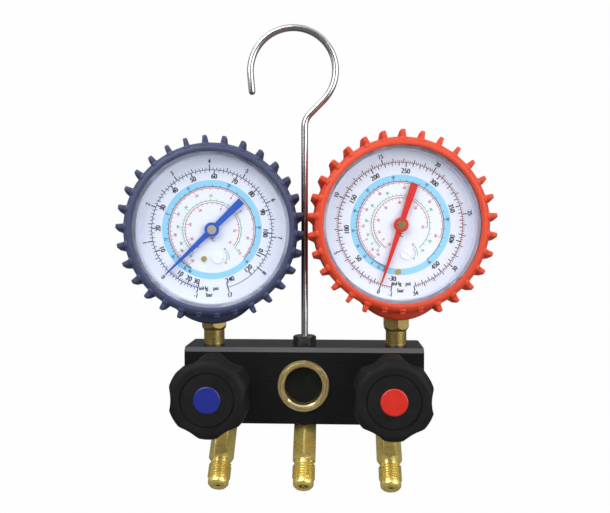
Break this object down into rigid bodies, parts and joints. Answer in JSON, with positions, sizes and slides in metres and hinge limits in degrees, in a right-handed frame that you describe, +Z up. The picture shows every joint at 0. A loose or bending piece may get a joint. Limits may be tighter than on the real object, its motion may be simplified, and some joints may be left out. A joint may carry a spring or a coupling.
{
  "type": "refrigerant manifold gauge",
  "caption": "Hanging refrigerant manifold with low and high side dial gauges in rubber boots, hand valves, sight glass and angled flare ports.",
  "frame": {"origin": "centre of the back face of the manifold block", "axes": "+Z up along the hanging rod and the gauge stems, +Y out of the block's back face, so the dials face -Y and the high side is on +X"},
  "size_m": [0.185, 0.063, 0.2301],
  "materials": {
    "anodised_black": "satin black anodised, brushed",
    "bright_brass": "machined",
    "bright_steel": "polished plating",
    "dark_steel": "dark nickel",
    "spring_steel": "bare",
    "rubber_blue": "matt",
    "rubber_red": "matt",
    "clear_lens": "clear moulded window",
    "dark_lens": "clear window over the dark bore",
    "dial_white": "printed face",
    "white_plastic": "moulded",
    "knob_black": "fine matt",
    "blue_plastic": "moulded",
    "red_plastic": "moulded",
    "seal_black": "matt"
  },
  "bodies": {
    "manifold": {"manifold_block": "anodised_black", "gallery_plug": "bright_steel", "sight_glass_ring": "bright_brass", "sight_glass_lens": "dark_lens", "hook_nut": "dark_steel", "centre_port": "bright_brass", "centre_port_core": "bright_brass", "low_port": "bright_brass", "low_bonnet": "bright_brass", "low_gland_nut": "bright_brass", "low_packing": "seal_black", "low_gauge_boot": "rubber_blue", "low_gauge_case": "dark_steel", "low_gauge_lens": "clear_lens", "low_gauge_dial_ring": "white_plastic", "low_gauge_dial": "dial_white", "low_gauge_dial_screw": "bright_brass", "low_gauge_adjuster": "white_plastic", "low_gauge_socket": "bright_brass", "low_gauge_pressure_tube": "bright_brass", "low_gauge_tube_tip": "bright_brass", "low_gauge_screws": "dark_steel", "low_gauge_movement_frame": "bright_brass", "low_gauge_link": "bright_brass", "low_gauge_hairspring": "spring_steel", "high_port": "bright_brass", "high_bonnet": "bright_brass", "high_gland_nut": "bright_brass", "high_packing": "seal_black", "high_gauge_boot": "rubber_red", "high_gauge_case": "dark_steel", "high_gauge_lens": "clear_lens", "high_gauge_dial_ring": "white_plastic", "high_gauge_dial": "dial_white", "high_gauge_dial_screw": "bright_brass", "high_gauge_adjuster": "white_plastic", "high_gauge_socket": "bright_brass", "high_gauge_pressure_tube": "bright_brass", "high_gauge_tube_tip": "bright_brass", "high_gauge_screws": "dark_steel", "high_gauge_movement_frame": "bright_brass", "high_gauge_link": "bright_brass", "high_gauge_hairspring": "spring_steel"},
    "low_piston": {"low_valve_piston": "bright_brass"},
    "low_handwheel": {"low_knob": "knob_black", "low_knob_cap": "blue_plastic", "low_knob_screw": "dark_steel", "low_valve_stem": "bright_steel"},
    "low_needle": {"low_gauge_pointer": "blue_plastic", "low_gauge_pinion": "bright_brass"},
    "low_sector": {"low_gauge_sector_gear": "bright_brass"},
    "high_piston": {"high_valve_piston": "bright_brass"},
    "high_handwheel": {"high_knob": "knob_black", "high_knob_cap": "red_plastic", "high_knob_screw": "dark_steel", "high_valve_stem": "bright_steel"},
    "high_needle": {"high_gauge_pointer": "red_plastic", "high_gauge_pinion": "bright_brass"},
    "high_sector": {"high_gauge_sector_gear": "bright_brass"},
    "hook": {"hook": "bright_steel"}
  },
  "joints": [
    {"name": "low_valve_lift", "type": "slide", "parent": "manifold", "child": "low_piston", "axis": [0, -1, 0], "range_m": [0, 0.00225]},
    {"name": "low_valve_turn", "type": "hinge", "parent": "low_piston", "child": "low_handwheel", "pos_m": [-0.0423, -0.014, 0], "axis": [0, -1, 0], "range_deg": [0, 540]},
    {"name": "low_needle_turn", "type": "hinge", "parent": "manifold", "child": "low_needle", "pos_m": [-0.0468, -0.014, 0.0775], "axis": [-0.1045, 0.9945, 0], "range_deg": [-33, 298]},
    {"name": "low_sector_turn", "type": "hinge", "parent": "manifold", "child": "low_sector", "pos_m": [-0.0468, -0.014, 0.06175], "axis": [-0.1045, 0.9945, 0], "range_deg": [-37.26, 4.13]},
    {"name": "high_valve_lift", "type": "slide", "parent": "manifold", "child": "high_piston", "axis": [0, -1, 0], "range_m": [0, 0.00225]},
    {"name": "high_valve_turn", "type": "hinge", "parent": "high_piston", "child": "high_handwheel", "pos_m": [0.0423, -0.014, 0], "axis": [0, -1, 0], "range_deg": [0, 540]},
    {"name": "high_needle_turn", "type": "hinge", "parent": "manifold", "child": "high_needle", "pos_m": [0.0468, -0.014, 0.0798], "axis": [-0.0698, 0.9976, 0], "range_deg": [-10, 329]},
    {"name": "high_sector_turn", "type": "hinge", "parent": "manifold", "child": "high_sector", "pos_m": [0.0468, -0.014, 0.06405], "axis": [-0.0698, 0.9976, 0], "range_deg": [-41.13, 1.26]},
    {"name": "hook_swivel", "type": "hinge", "parent": "manifold", "child": "hook", "pos_m": [0, -0.014, 0.02], "axis": [0, 0, 1], "continuous": true}
  ],
  "couplings": [
    {"joint": "low_valve_lift", "follows": "low_valve_turn", "m_per_rad": 0.00023873},
    {"joint": "low_sector_turn", "follows": "low_needle_turn", "ratio": -0.125},
    {"joint": "high_valve_lift", "follows": "high_valve_turn", "m_per_rad": 0.00023873},
    {"joint": "high_sector_turn", "follows": "high_needle_turn", "ratio": -0.125}
  ]
}
